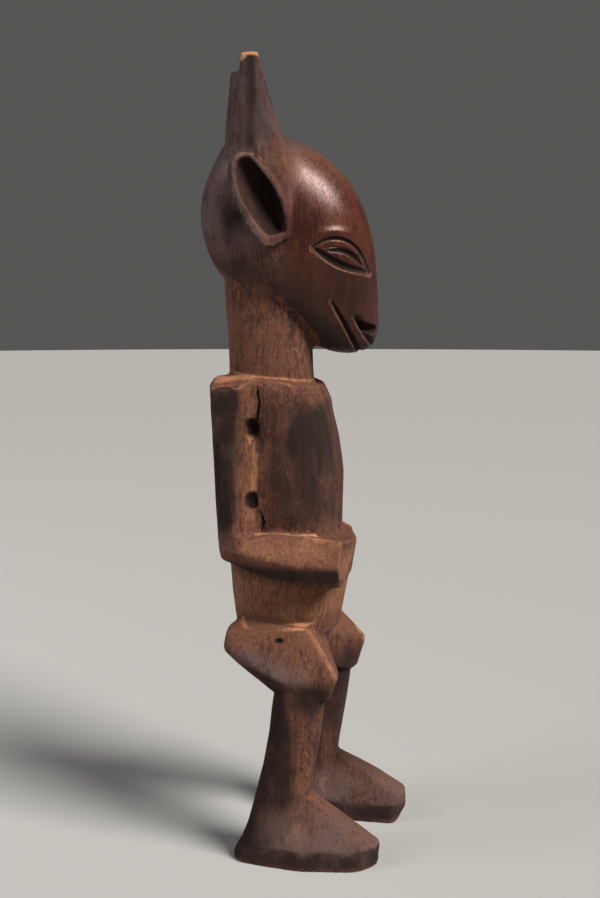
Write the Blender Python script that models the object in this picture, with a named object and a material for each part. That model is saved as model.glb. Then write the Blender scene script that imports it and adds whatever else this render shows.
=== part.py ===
"""A standing wooden figure with an antelope's head, carved from one block of wood.

The figure faces -Y and stands on the XY plane, +Z up, with the middle of its bounding box over the origin.
Its right side is towards -X. The carving is laid out in parts of its height, as (side, forward, up).
"""

import math

import bmesh
import bpy
from mathutils import Matrix, Vector

HEIGHT = 0.400  # metres, from the floor to the tip of the right horn
PARTS_IN_HEIGHT = 400
PART = HEIGHT / PARTS_IN_HEIGHT

# Everything below is in parts of the height, or in degrees.
RIGHT, LEFT = -1, 1
BOX_MIDDLE = (0.0, 0.56)  # side and forward, of the middle of the finished figure's box

NECK_HALF_WIDTH = 21.5
NECK_FORWARD = -16.0
CHEST_HALF_WIDTH = 34.5
WAIST_HALF_WIDTH = 30.5
ARM_OUTER = 41.5  # from the middle of the body to the outside of an upper arm
ARM_GROOVE_FLOOR = 32.8
FOREARM_OUTER = 46.5
FOREARM_END = 30.0
LEFT_FOREARM_SHORTER = 9.0
THIGH_OUTER = 47.0
LEG_OUT = 32.0  # from the middle of the body to the middle of a calf
CALF_HALF_WIDTH = 12.0
FOOT_OUTER = 48.5
TOE_REACH = {RIGHT: 48.0, LEFT: 52.0}
TOE_HEIGHT = {RIGHT: 11.5, LEFT: 17.0}

HEAD_TURN = 14.0  # degrees, towards the figure's left
HEAD_CENTRE = (20.0, 308.0)  # forward of the axis that the head turns on, and up
HEAD_DIP = 45.0  # degrees that the head's long axis falls towards the snout
HEAD_FULLNESS = 2.3  # 2 is a true oval, and more is squarer
HEAD_RINGS = 22
# Along the head's long axis from the crown to the snout: the lower edge, the upper edge and the half width.
HEAD_SECTIONS = [
    (-64.2, 3.0, 6.5, 1.0),
    (-63.2, 0.8, 9.5, 8.0),
    (-61.0, -6.5, 13.5, 13.5),
    (-58.2, -13.6, 17.5, 18.0),
    (-53.2, -22.8, 22.8, 22.8),
    (-46.2, -30.8, 27.8, 26.5),
    (-37.9, -36.8, 32.0, 29.0),
    (-29.1, -41.0, 34.4, 30.6),
    (-18.5, -43.4, 35.7, 31.2),
    (-7.3, -43.6, 35.4, 31.0),
    (3.0, -42.6, 33.0, 30.0),
    (14.0, -41.0, 28.4, 27.5),
    (25.0, -39.3, 21.5, 24.0),
    (37.0, -35.6, 11.7, 19.0),
    (45.0, -31.6, 4.6, 15.0),
    (51.5, -27.1, -1.5, 11.5),
    (56.0, -22.4, -5.8, 8.5),
    (58.6, -17.7, -10.3, 5.0),
    (59.4, -15.5, -13.0, 1.0),
]

HORN_TIP = 400.0
HORN_BREAK = 1.2  # unevenness of the broken tips
LEFT_HORN_SHORTER = 5.5

EYE_GROOVE = 1.5
MOUTH_GROOVE = 1.25
MOUTH_FRONT = (46.2, 252.9)  # forward and up, where it crosses the middle
# Forward and up round the rim of an ear, in the head's layout, from its top down its back and up its front.
EAR_RIM = [
    (-11.5, 350.0), (-16.5, 348.0), (-19.0, 343.5), (-19.3, 338.0), (-18.0, 330.5), (-14.0, 321.0), (-8.5, 312.0),
    (-1.5, 304.2), (3.0, 304.6), (10.6, 308.6), (10.2, 317.0), (8.6, 325.3), (4.8, 334.7), (0.0, 341.5), (-4.8, 346.5),
]
EAR_STANDS = 35.5  # from the head's middle plane to the back of an ear's rim
EAR_FRONT = 31.5
# Forward and up round the opening of its hollow.
EAR_OPENING = [
    (-12.9, 346.3), (-9.4, 347.0), (-5.8, 343.8), (-2.0, 339.4), (2.8, 333.0), (6.0, 326.5), (8.4, 318.6), (9.0, 311.5),
    (-0.5, 308.7), (-4.5, 313.0), (-8.5, 320.4), (-12.6, 326.5), (-15.2, 333.6), (-16.6, 339.6), (-15.8, 343.8),
]
# Forward, up and side along the bottom of the hollow.
EAR_VALLEY = [(-8.0, 344.0, 28.5), (-0.5, 334.0, 25.0), (4.4, 323.5, 24.5), (6.6, 314.0, 27.0)]
PIT_HALF_LENGTH = 5.0
PIT_HALF_WIDTH = 3.2
PIT_FORWARD = -15.4
PIT_INSET = 3.4  # from the floor of the groove out to the middle of a pit
# Up, and half depth, of the pits beside each arm.
PITS = {RIGHT: [(217.0, 6.0), (181.0, 3.4)], LEFT: [(215.0, 4.5), (183.0, 4.0)]}

WOOD_COLOUR = (0.085, 0.042, 0.026, 1.0)
WOOD_ROUGHNESS = 0.5


def at(side, forward, up):
    """A point of the layout, in metres."""
    return Vector((side - BOX_MIDDLE[0], BOX_MIDDLE[1] - forward, up)) * PART


def on_head(side, forward, up):
    """A point of the head, forward of the axis that it turns on, once it is turned."""
    turn = math.radians(HEAD_TURN)
    turned_side = side * math.cos(turn) + forward * math.sin(turn)
    turned_forward = forward * math.cos(turn) - side * math.sin(turn)
    return at(turned_side, NECK_FORWARD + turned_forward, up)


def between(rows, where):
    """Reads a table whose rows start with a position, by a smooth curve through its rows."""
    last = len(rows) - 1
    k = next((i for i in range(last) if where <= rows[i + 1][0]), last - 1)
    before, start, end, after = (rows[min(max(i, 0), last)] for i in (k - 1, k, k + 1, k + 2))
    span = end[0] - start[0]
    t = (where - start[0]) / span
    values = []
    for column in range(1, len(start)):
        slope_in = (end[column] - before[column]) / (end[0] - before[0]) * span
        slope_out = (after[column] - start[column]) / (after[0] - start[0]) * span
        rise = end[column] - start[column]
        curve = slope_in + slope_out - 2 * rise
        values.append(start[column] + t * (slope_in + t * (3 * rise - 2 * slope_in - slope_out + t * curve)))
    return values


def power(value, exponent):
    return math.copysign(abs(value) ** exponent, value)


def oval(count, half_width, low, high, fullness):
    """Points (across, along) round an oval of that half width, which reaches from low to high."""
    middle, half_length = (low + high) / 2, (high - low) / 2
    ring = []
    for step in range(count):
        angle = math.tau * (step + 0.5) / count
        across = half_width * power(math.cos(angle), 2 / fullness)
        along = middle + half_length * power(math.sin(angle), 2 / fullness)
        ring.append((across, along))
    return ring


def collection(name, hidden):
    made = bpy.data.collections.new(name)
    bpy.context.scene.collection.children.link(made)
    made.hide_render = hidden
    return made


def add(name, bm, group):
    """Makes an object from a bmesh, with its faces pointing out."""
    bmesh.ops.recalc_face_normals(bm, faces=bm.faces)
    mesh = bpy.data.meshes.new(name)
    bm.to_mesh(mesh)
    bm.free()
    made = bpy.data.objects.new(name, mesh)
    group.objects.link(made)
    if group.hide_render:
        made.hide_render = True
        made.display_type = "WIRE"
    return made


def loft(name, rings, group):
    """A closed skin through rings of points."""
    bm = bmesh.new()
    rows = [[bm.verts.new(point) for point in ring] for ring in rings]
    count = len(rows[0])
    for low, high in zip(rows, rows[1:]):
        for i in range(count):
            j = (i + 1) % count
            bm.faces.new((low[i], low[j], high[j], high[i]))
    ends = [bm.faces.new(rows[0]), bm.faces.new(rows[-1])]
    bmesh.ops.triangulate(bm, faces=ends)
    return add(name, bm, group)


def hull(points):
    """The convex solid round those points, as a bmesh."""
    bm = bmesh.new()
    for point in points:
        bm.verts.new(point)
    made = bmesh.ops.convex_hull(bm, input=bm.verts)
    spare = set(made["geom_interior"]) | set(made["geom_unused"])
    bmesh.ops.delete(bm, geom=[g for g in spare if isinstance(g, bmesh.types.BMVert)], context="VERTS")
    return bm


def block(name, corners, group, worn=0.0, place=at):
    """A block hewn flat between its corners, with its edges worn by that width."""
    bm = hull([place(*corner) for corner in corners])
    if worn:
        bmesh.ops.dissolve_limit(bm, angle_limit=math.radians(2), verts=bm.verts, edges=bm.edges)
        bmesh.ops.bevel(
            bm, geom=bm.edges[:], offset=worn * PART, segments=1, profile=0.5, affect="EDGES", clamp_overlap=True
        )
        points = [vert.co.copy() for vert in bm.verts]
        bm.free()
        bm = hull(points)
    return add(name, bm, group)


def head_block(name, side, corners, group):
    """A block on one side of the head, hewn between corners given in the head's own layout."""
    return block(name, corners, group, place=lambda across, forward, up: on_head(side * across, forward, up))


def mirrored(side, corners):
    """Corners given for the left side, placed on that side."""
    return [(side * across, forward, up) for across, forward, up in corners]


def trunk(group):
    """The trunk: a column that is fullest at the chest and a little narrower at the waist."""
    # up, half width, back, front, fullness
    sections = [
        (104, 27.0, -26.0, 13.0, 2.6),
        (120, WAIST_HALF_WIDTH, -31.5, 20.2, 3.0),
        (145, WAIST_HALF_WIDTH + 1.0, -34.0, 20.2, 3.0),
        (168, CHEST_HALF_WIDTH - 1.0, -36.0, 20.3, 3.0),
        (191, CHEST_HALF_WIDTH, -38.0, 20.9, 3.0),
        (209, CHEST_HALF_WIDTH, -40.0, 18.6, 3.0),
        (222, CHEST_HALF_WIDTH, -42.0, 15.3, 3.0),
        (237, CHEST_HALF_WIDTH - 0.6, -44.4, 12.8, 3.0),
        (241.5, CHEST_HALF_WIDTH - 2.6, -41.4, 10.4, 3.0),
    ]
    rings = []
    for up in (104, 112, 120, 132, 145, 157, 168, 180, 191, 200, 209, 216, 222, 229, 237, 241.5):
        half_width, back, front, fullness = between(sections, up)
        slope = 0.24 if up > 230 else 0.0  # the shoulders fall towards the chest
        ring = oval(28, half_width, back, front, fullness)
        rings.append([at(x, f, up - slope * max(f + 10.0, 0.0)) for x, f in ring])
    return loft("trunk", rings, group)


def upper_arm(side, group):
    """A bar down the side of the back."""
    corners = [
        (ARM_OUTER - 1.5, -35.8, 237.0), (ARM_OUTER, -24.5, 236.0), (ARM_OUTER - 3.5, -16.0, 237.0),
        (33.0, -11.0, 240.5), (24.0, -40.0, 239.5), (24.0, -20.0, 240.8),
        (ARM_OUTER - 0.5, -31.6, 158.0), (ARM_OUTER + 2.5, -20.0, 158.0), (34.0, -11.0, 158.0), (26.0, -34.0, 158.0),
        (ARM_OUTER - 0.5, -29.5, 151.5), (ARM_OUTER + 1.5, -20.0, 150.5), (30.0, -22.0, 150.5),
    ]
    return block("upper_arm", mirrored(side, corners), group, worn=1.0)


def arm_groove(side, group):
    """The hollow that parts an upper arm from the chest, with a slanted face along the arm."""
    floor = ARM_GROOVE_FLOOR
    corners = []
    for up, shift in ((250.0, 0.0), (200.0, 0.5), (166.0, 1.5)):
        corners += [
            (floor + shift, -12.6, up), (floor + 3.5 + shift, -11.0, up), (floor + 16.0, -8.0, up),
            (floor + 16.0, -30.0, up),
        ]
    corners.append((floor + 16.0, -20.0, 164.5))
    return block("arm_groove", mirrored(side, corners), group)


def pit(side, up, half_depth, group):
    """An oval pit in the groove."""
    bm = bmesh.new()
    bmesh.ops.create_icosphere(bm, subdivisions=2, radius=PART)
    scale = Matrix.Diagonal((half_depth, PIT_HALF_WIDTH, PIT_HALF_LENGTH, 1.0))
    place = Matrix.Translation(at(side * (ARM_GROOVE_FLOOR + PIT_INSET), PIT_FORWARD, up))
    bmesh.ops.transform(bm, matrix=place @ scale, verts=bm.verts)
    return add("pit", bm, group)


def forearm(side, group):
    """A bar along the waist, ridged on the outside and undercut below."""
    shorter = LEFT_FOREARM_SHORTER if side == LEFT else 0.0
    # forward, then (side, up) of the top edge, the ridge and the low edge
    sections = [
        (-31.0, (39.0, 160.0), (41.0, 157.0), (39.5, 152.5)),
        (-19.0, (40.5, 163.5), (FOREARM_OUTER - 1.5, 157.0), (42.5, 148.0)),
        (-6.0, (39.5, 166.4), (FOREARM_OUTER, 154.5), (44.0, 144.3)),
        (10.0 - shorter * 0.5, (38.0, 165.9), (FOREARM_OUTER, 152.5), (43.5, 141.3)),
        (FOREARM_END - shorter, (34.5, 163.3 - shorter * 0.5), (FOREARM_OUTER - 6.0, 151.5 - shorter * 0.2), (38.0, 140.3)),
    ]
    rings = []
    for forward, (top_side, top_up), (ridge_side, ridge_up), (low_side, low_up) in sections:
        ring = [
            (18.0, top_up - 3.0),
            (top_side - 2.0, top_up),
            (top_side, top_up - 0.6),
            (ridge_side - 1.2, ridge_up + 2.4),
            (ridge_side, ridge_up),
            (ridge_side - 0.6, ridge_up - 2.4),
            (low_side, low_up + 0.8),
            (low_side - 2.0, low_up),
            (18.0, low_up + 3.0),
        ]
        rings.append([at(side * across, forward, up) for across, up in ring])
    return loft("forearm", rings, group)


def hands(group):
    """Both hands, which meet on the belly in a blunt nose."""
    right_end = FOREARM_END
    left_end = right_end - LEFT_FOREARM_SHORTER
    corners = [
        (-32.8, right_end - 0.3, 162.8), (-17.0, 30.8, 161.0), (-4.0, 31.2, 159.6), (4.0, 29.6, 159.4),
        (14.0, 25.4, 158.6), (32.0, left_end - 0.5, 158.0), (24.0, 6.0, 161.0), (-24.0, 6.0, 162.0),
        (-39.5, right_end - 0.5, 151.5), (-37.5, right_end - 1.0, 141.0), (39.5, left_end - 0.5, 150.5),
        (37.5, left_end - 1.0, 141.0), (-12.0, 28.4, 141.0), (0.0, 27.6, 141.0), (10.0, 24.0, 141.0),
        (-26.0, 6.0, 142.0), (26.0, 4.0, 142.0),
    ]
    return block("hands", corners, group, worn=0.8)


def belly(group):
    """The slanting front of the belly, below the hands."""
    corners = []
    for side in (RIGHT, LEFT):
        less = 0.0 if side == RIGHT else 1.5
        corners += [
            (side * 30.0, -4.0, 150.0), (side * 29.0, 13.0, 150.0), (side * 25.5, 20.5, 150.0),
            (side * 16.0, 27.0 - less, 156.0), (side * 4.0, 30.4 - less, 157.0),
            (side * 29.2, -6.0, 112.0), (side * 27.6, 9.0, 112.0), (side * 23.0, 15.5, 112.0),
            (side * 14.0, 19.6 - less, 113.0), (side * 4.0, 21.8 - less, 114.0),
        ]
    return block("belly", corners, group, worn=0.8)


def thigh(side, group):
    """A bent thigh, hewn to flat faces that meet in a ridge over the knee."""
    knee = 97.5 if side == LEFT else 95.0
    under = knee - (17.0 if side == LEFT else 12.5)
    ridge = 8.5 if side == LEFT else 13.5
    corners = [
        (30.0, -24.0, 121.0), (36.5, -20.0, 120.0), (38.0, -4.0, 121.0), (37.0, ridge - 4.5, 120.5),
        (34.0, ridge, 119.0), (34.0, -29.0, 118.0), (40.0, -28.0, 117.5), (43.0, -29.3, 108.0), (42.5, -23.6, 102.5),
        (THIGH_OUTER - 1.5, -17.0, 107.0), (THIGH_OUTER, -8.0, 99.0), (THIGH_OUTER - 0.3, 3.0, 94.5),
        (THIGH_OUTER - 1.8, 14.0, 93.8), (38.0, 28.6, knee), (28.0, 27.6, knee), (37.0, 23.6, under),
        (26.0, 22.0, under), (42.5, 10.0, 84.0), (41.0, -4.0, 87.5), (22.0, -4.0, 84.0),
        (10.0, -30.5, 107.0), (16.0, 17.0, 110.0), (18.0, 19.0, 96.0),
        (-3.0, -30.0, 116.0), (-3.0, -22.0, 93.5), (-3.0, 9.0, 93.5), (-3.0, 12.0, 112.0),
    ]
    return block("thigh", mirrored(side, corners), group, worn=1.0)


def calf(side, group):
    """The lower leg, which widens down to the heel."""
    # up, half width, back, front, fullness
    sections = [
        (3, CALF_HALF_WIDTH + 2.0, -23.4, 11.0, 3.0),
        (8, CALF_HALF_WIDTH + 2.0, -22.8, 12.0, 3.0),
        (18, CALF_HALF_WIDTH + 1.5, -18.8, 13.4, 2.9),
        (34, CALF_HALF_WIDTH + 0.5, -14.6, 13.4, 2.8),
        (48, CALF_HALF_WIDTH - 0.3, -11.0, 15.8, 2.7),
        (66, CALF_HALF_WIDTH - 0.5, -7.8, 18.8, 2.6),
        (84, CALF_HALF_WIDTH, -5.5, 20.6, 2.6),
        (98, CALF_HALF_WIDTH, -2.0, 20.0, 2.6),
    ]
    rings = []
    for up in (3, 8, 13, 18, 26, 34, 41, 48, 57, 66, 75, 84, 98):
        half_width, back, front, fullness = between(sections, up)
        ring = oval(20, half_width, back, front, fullness)
        rings.append([at(side * (LEG_OUT + x), f, up) for x, f in ring])
    return loft("calf", rings, group)


def foot(side, group):
    """A wedge of a foot, with a narrow top that falls to a blunt toe, and the heel."""
    toe, reach = TOE_HEIGHT[side], TOE_REACH[side]
    top = 34.0 if side == RIGHT else 32.5
    corners = [
        (36.5, 11.5, top + 2.0), (27.5, 11.5, top + 2.5), (35.0, 32.0, toe + 10.0), (34.0, reach - 1.0, toe),
        (25.0, reach, toe - 0.5), (21.0, reach - 3.0, toe - 2.5), (19.0, 24.0, 12.0), (19.0, 0.0, 13.0),
        (FOOT_OUTER - 2.0, 5.0, 13.5), (FOOT_OUTER - 4.0, 24.0, 12.0), (40.5, reach - 9.0, 11.5),
        (36.5, reach - 2.0, 10.5),
    ]
    for up, back_off in ((6.0, 0.0), (-4.0, 6.5 if side == LEFT else 1.5)):
        corners += [
            (FOOT_OUTER, 12.0, up), (FOOT_OUTER - 3.0, 27.0, up), (43.5, reach - 11.0, up),
            (39.0, reach - 4.5 - back_off, up), (32.0, reach - back_off, up), (24.0, reach - 0.3 - back_off, up),
            (18.0, reach - 7.0, up), (17.0, 20.0, up),
        ]
    heel = [(FOOT_OUTER - 1.2, -9.0), (45.6, -20.0), (40.0, -25.3), (25.0, -25.3), (19.0, -20.0), (17.0, -8.0)]
    for up, drawn in ((7.5, 1.6), (4.0, 0.0), (-4.0, 1.0)):
        corners += [(x - drawn * (x - LEG_OUT) / 16.0, f + drawn, up) for x, f in heel]
    return block("foot", mirrored(side, corners), group, worn=1.0)


def floor(group):
    """Everything below the floor, to be taken off."""
    corners = [(side, forward, up) for side in (-80.0, 80.0) for forward in (-80.0, 80.0) for up in (-20.0, 0.0)]
    return block("floor", corners, group)


def neck(group):
    # up, half width, back, front
    sections = [
        (228, NECK_HALF_WIDTH + 1.0, -36.0, 7.6),
        (245, NECK_HALF_WIDTH, -36.2, 6.4),
        (262, NECK_HALF_WIDTH - 0.6, -36.9, 5.8),
        (284, NECK_HALF_WIDTH - 1.2, -38.8, 4.5),
        (302, NECK_HALF_WIDTH - 2.0, -38.5, 2.0),
    ]
    rings = []
    for up, half_width, back, front in sections:
        rings.append([at(x, f, up) for x, f in oval(24, half_width, back, front, 2.4)])
    return loft("neck", rings, group)


def head_half_width(forward, up):
    """From the head's middle plane out to its skin, at that place."""
    dip = math.radians(HEAD_DIP)
    out, rise = forward - HEAD_CENTRE[0], up - HEAD_CENTRE[1]
    along = out * math.cos(dip) - rise * math.sin(dip)
    height = out * math.sin(dip) + rise * math.cos(dip)
    low, high, half_width = between(HEAD_SECTIONS, along)
    share = abs(2 * height - low - high) / (high - low)
    return half_width * max(1 - share**HEAD_FULLNESS, 0) ** (1 / HEAD_FULLNESS)


def head(group):
    """An egg that narrows to the snout."""
    dip = math.radians(HEAD_DIP)
    first, last = HEAD_SECTIONS[0][0], HEAD_SECTIONS[-1][0]
    rings = []
    for step in range(HEAD_RINGS + 1):
        share = (1 - math.cos(math.pi * step / HEAD_RINGS)) / 2
        along = first + (last - first) * share
        low, high, half_width = between(HEAD_SECTIONS, along)
        ring = []
        for side, height in oval(32, half_width, low, high, HEAD_FULLNESS):
            forward = HEAD_CENTRE[0] + along * math.cos(dip) + height * math.sin(dip)
            up = HEAD_CENTRE[1] + height * math.cos(dip) - along * math.sin(dip)
            ring.append(on_head(side, forward, up))
        rings.append(ring)
    return loft("head", rings, group)


def horn(side, group):
    """A flat-sided horn that tapers to a broken tip."""
    tip = HORN_TIP - (LEFT_HORN_SHORTER if side == LEFT else 0.0)
    # up, then across its middle, half width, back and front
    sections = [
        (330.0, 15.0, 11.0, -21.0, 8.0),
        (346.0, 14.8, 10.6, -21.5, 9.5),
        (358.0, 14.2, 9.2, -20.7, 7.0),
        (367.0, 13.7, 8.0, -19.2, 4.7),
        (376.0, 13.3, 6.8, -17.2, 1.7),
        (386.0, 13.0, 5.5, -15.0, -1.4),
        (tip - HORN_BREAK, 12.8, 4.2, -13.3, -4.9),
    ]
    rings = []
    for up, middle, half_width, back, front in sections:
        if side == LEFT:
            back -= 2.5 + max(up - 358.0, 0.0) * 0.12
            front -= 2.5
        ring = oval(16, half_width, back, front, 2.8)
        rings.append([on_head(side * (middle + x), f, up) for x, f in ring])
    count = len(rings[-1])
    for i, point in enumerate(rings[-1]):
        point.z += HORN_BREAK * math.cos(math.tau * (i / count - 0.45)) * PART
    return loft("horn", rings, group)


def temple(side, group):
    """The flat face that carries the horn's side down in front of the ear."""
    corners = [
        (18.3, -0.4, 376.0), (19.8, -6.0, 376.0), (23.2, 8.4, 354.5), (28.6, 10.6, 340.0), (31.4, 10.8, 325.0),
        (31.3, 10.8, 309.0), (24.8, -4.0, 354.5), (28.0, -5.0, 344.0), (31.2, 3.0, 322.0), (12.0, -4.0, 366.0),
        (10.0, 6.0, 350.0), (10.0, 6.0, 312.0), (10.0, -8.0, 345.0),
    ]
    return head_block("temple", side, corners, group)


def ear_side(forward, up):
    """How far out an ear's rim stands: proud at its back, and almost level with the head at its front."""
    back_to_front = (forward + 17.0 + (up - 349.0) * 0.25) / 20.0
    return EAR_STANDS + (EAR_FRONT - EAR_STANDS) * max(0.0, min(back_to_front, 1.0))


def ear(side, group):
    """A leaf that flares out from the head."""
    corners = []
    for forward, up in EAR_RIM:
        corners.append((ear_side(forward, up), forward, up))
        corners.append((10.0, forward * 0.5 + 1.0, 326.0 + (up - 326.0) * 0.5))
    return head_block("ear", side, corners, group)


def ear_hollow(side, group):
    """Scooped out between the rim and the bottom of the hollow, steeper at the front."""
    corners = [(depth, forward, up) for forward, up, depth in EAR_VALLEY]
    for forward, up in EAR_OPENING:
        rim = ear_side(forward, up)
        corners.append((rim + 6.0, forward * 1.06 + 0.2, up + (up - 329.0) * 0.06))
        corners.append((rim - 1.2, forward * 0.98, up - (up - 329.0) * 0.02))
    return head_block("ear_hollow", side, corners, group)


def groove(name, points, radii, group):
    """A round-bottomed gouge cut along those points, which narrows as its radii do."""
    curve = bpy.data.curves.new(name, "CURVE")
    curve.dimensions = "3D"
    curve.bevel_depth = PART
    curve.bevel_resolution = 2
    curve.use_fill_caps = True
    line = curve.splines.new("POLY")
    line.points.add(len(points) - 1)
    for knot, point, radius in zip(line.points, points, radii):
        knot.co = (*point, 1.0)
        knot.radius = radius
    holder = bpy.data.objects.new(name, curve)
    group.objects.link(holder)
    bpy.context.view_layer.update()
    mesh = bpy.data.meshes.new_from_object(holder)
    bm = bmesh.new()
    bm.from_mesh(mesh)
    bm.transform(holder.matrix_world)
    bmesh.ops.remove_doubles(bm, verts=bm.verts, dist=0.0001 * PART)
    bpy.data.objects.remove(holder)
    bpy.data.meshes.remove(mesh)
    return add(name, bm, group)


def smooth_line(points, steps):
    """Points along the smooth curve through those (forward, up) points."""
    rows = [(float(i), *point) for i, point in enumerate(points)]
    last = len(points) - 1
    return [between(rows, last * step / steps) for step in range(steps + 1)]


def head_groove(name, side, points, widest, group, steps=10):
    """A gouge on the head's skin that narrows from that half width to its two ends."""
    path, radii = [], []
    for step, (forward, up) in enumerate(smooth_line(points, steps)):
        radius = widest * (0.25 + 0.75 * math.sin(math.pi * step / steps) ** 0.7)
        path.append(on_head(side * head_half_width(forward, up), forward, up))
        radii.append(radius)
    return groove(name, path, radii, group)


def eye(side, group):
    """Three gouges that leave the two lids standing between them."""
    brow = [(22.0, 304.6), (27.7, 308.2), (35.0, 309.0), (40.8, 306.8), (46.2, 301.0), (50.0, 292.5)]
    slit = [(29.0, 303.4), (35.5, 303.7), (41.5, 301.2), (46.6, 295.8)]
    under = [(22.6, 303.9), (27.7, 300.8), (33.0, 297.6), (40.0, 295.0), (48.8, 292.9)]
    head_groove("brow", side, brow, EYE_GROOVE * 0.65, group)
    head_groove("slit", side, slit, EYE_GROOVE, group)
    head_groove("under_eye", side, under, EYE_GROOVE * 1.25, group)


def mouth(group):
    """One gouge, from the corner of the mouth on one side, under the snout and up to the other corner."""
    line = smooth_line([(32.0, 277.8), (35.0, 272.0), (38.2, 266.0), (41.4, 260.0), (44.6, 254.4)], 8)
    path, radii = [], []
    for side, points in ((RIGHT, line), (LEFT, line[::-1])):
        for forward, up in points:
            path.append(on_head(side * (head_half_width(forward, up) - MOUTH_GROOVE * 0.2), forward, up))
            radii.append(MOUTH_GROOVE * (0.4 if up > 277.0 else 1.0))
    path.insert(len(line), on_head(0.0, *MOUTH_FRONT))
    radii.insert(len(line), MOUTH_GROOVE)
    return groove("mouth", path, radii, group)


def nostril(side, group):
    corners = [
        (9.0, 43.4, 268.4), (16.0, 41.6, 269.4), (16.0, 53.5, 266.8), (5.0, 53.5, 266.2), (6.0, 53.8, 261.8),
        (16.0, 54.0, 260.5), (16.0, 46.0, 263.0), (7.0, 48.5, 264.5),
    ]
    return head_block("nostril", side, corners, group)


def boolean(target, other, operation):
    step = target.modifiers.new(f"{operation.lower()}_{other.name}", "BOOLEAN")
    step.object = other
    step.operation = operation
    step.solver = "EXACT"


def build():
    for old in list(bpy.data.objects):
        bpy.data.objects.remove(old)
    figure_group = collection("wooden_antelope_figure", hidden=False)
    forms = collection("forms", hidden=True)
    cutters = collection("cutters", hidden=True)

    figure = trunk(figure_group)
    figure.name = "antelope_figure"
    for side in (RIGHT, LEFT):
        upper_arm(side, forms)
        forearm(side, forms)
        arm_groove(side, cutters)
    for side, pits in PITS.items():
        for up, half_depth in pits:
            pit(side, up, half_depth, cutters)
    neck(forms)
    head(forms)
    hands(forms)
    belly(forms)
    for side in (RIGHT, LEFT):
        thigh(side, forms)
        calf(side, forms)
        foot(side, forms)
        horn(side, forms)
        temple(side, forms)
        ear(side, forms)
        ear_hollow(side, cutters)
        eye(side, cutters)
        nostril(side, cutters)
    mouth(cutters)
    floor(cutters)

    for form in forms.objects:
        boolean(figure, form, "UNION")
    for cutter in cutters.objects:
        boolean(figure, cutter, "DIFFERENCE")

    wood = bpy.data.materials.new("dark_wood")
    wood.use_nodes = True
    shader = wood.node_tree.nodes["Principled BSDF"]
    shader.inputs["Base Color"].default_value = WOOD_COLOUR
    shader.inputs["Roughness"].default_value = WOOD_ROUGHNESS
    shader.inputs["Metallic"].default_value = 0.0
    figure.data.materials.append(wood)


build()
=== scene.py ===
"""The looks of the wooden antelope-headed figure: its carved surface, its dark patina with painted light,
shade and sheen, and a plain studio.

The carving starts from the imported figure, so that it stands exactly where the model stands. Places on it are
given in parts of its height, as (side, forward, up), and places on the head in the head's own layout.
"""

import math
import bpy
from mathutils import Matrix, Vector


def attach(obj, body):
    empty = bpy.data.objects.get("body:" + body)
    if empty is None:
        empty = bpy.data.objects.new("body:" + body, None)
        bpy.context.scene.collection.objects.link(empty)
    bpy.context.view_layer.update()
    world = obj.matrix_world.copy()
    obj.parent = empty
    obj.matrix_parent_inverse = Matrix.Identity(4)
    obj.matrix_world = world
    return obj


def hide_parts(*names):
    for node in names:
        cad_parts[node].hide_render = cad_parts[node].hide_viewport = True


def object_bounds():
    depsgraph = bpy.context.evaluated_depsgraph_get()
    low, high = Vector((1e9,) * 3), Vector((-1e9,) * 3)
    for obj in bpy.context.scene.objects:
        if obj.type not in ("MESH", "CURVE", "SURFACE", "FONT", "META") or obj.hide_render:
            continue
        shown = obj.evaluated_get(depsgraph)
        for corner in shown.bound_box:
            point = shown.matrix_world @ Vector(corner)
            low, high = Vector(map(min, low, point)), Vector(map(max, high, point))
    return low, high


bl_info = {
    "name": "Wooden antelope figure",
    "version": (1, 0, 0),
    "blender": (4, 5, 0),
    "location": "3D View > Sidebar > Antelope figure",
    "description": "Carves and finishes a standing wooden figure with an antelope's head",
    "category": "Object",
}

import bmesh
import bpy
import numpy as np
from mathutils import Vector

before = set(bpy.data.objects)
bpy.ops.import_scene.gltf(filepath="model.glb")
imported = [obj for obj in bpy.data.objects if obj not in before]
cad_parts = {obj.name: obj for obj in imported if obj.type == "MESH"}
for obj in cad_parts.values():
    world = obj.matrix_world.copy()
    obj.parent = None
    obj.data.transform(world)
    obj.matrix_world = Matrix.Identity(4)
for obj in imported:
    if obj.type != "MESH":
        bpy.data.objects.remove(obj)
cad_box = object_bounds()

SOLID = "antelope_figure"
PARTS_IN_HEIGHT = 400
PART = cad_box[1].z / PARTS_IN_HEIGHT  # metres
BOX_MIDDLE = (0.0, 0.56)  # side and forward, of the middle of the figure's box
MOST_TRIANGLES = 192000
EDGE_PASS = 0.12  # how much one pass of smoothing wears off an edge

# The head turns on the neck's axis, and its long axis dips towards the snout.
HEAD_TURN = math.radians(14.0)
NECK_FORWARD = -16.0
HEAD_CENTRE = (20.0, 308.0)
HEAD_DIP = math.radians(45.0)
HEAD_FULLNESS = 2.3
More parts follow.
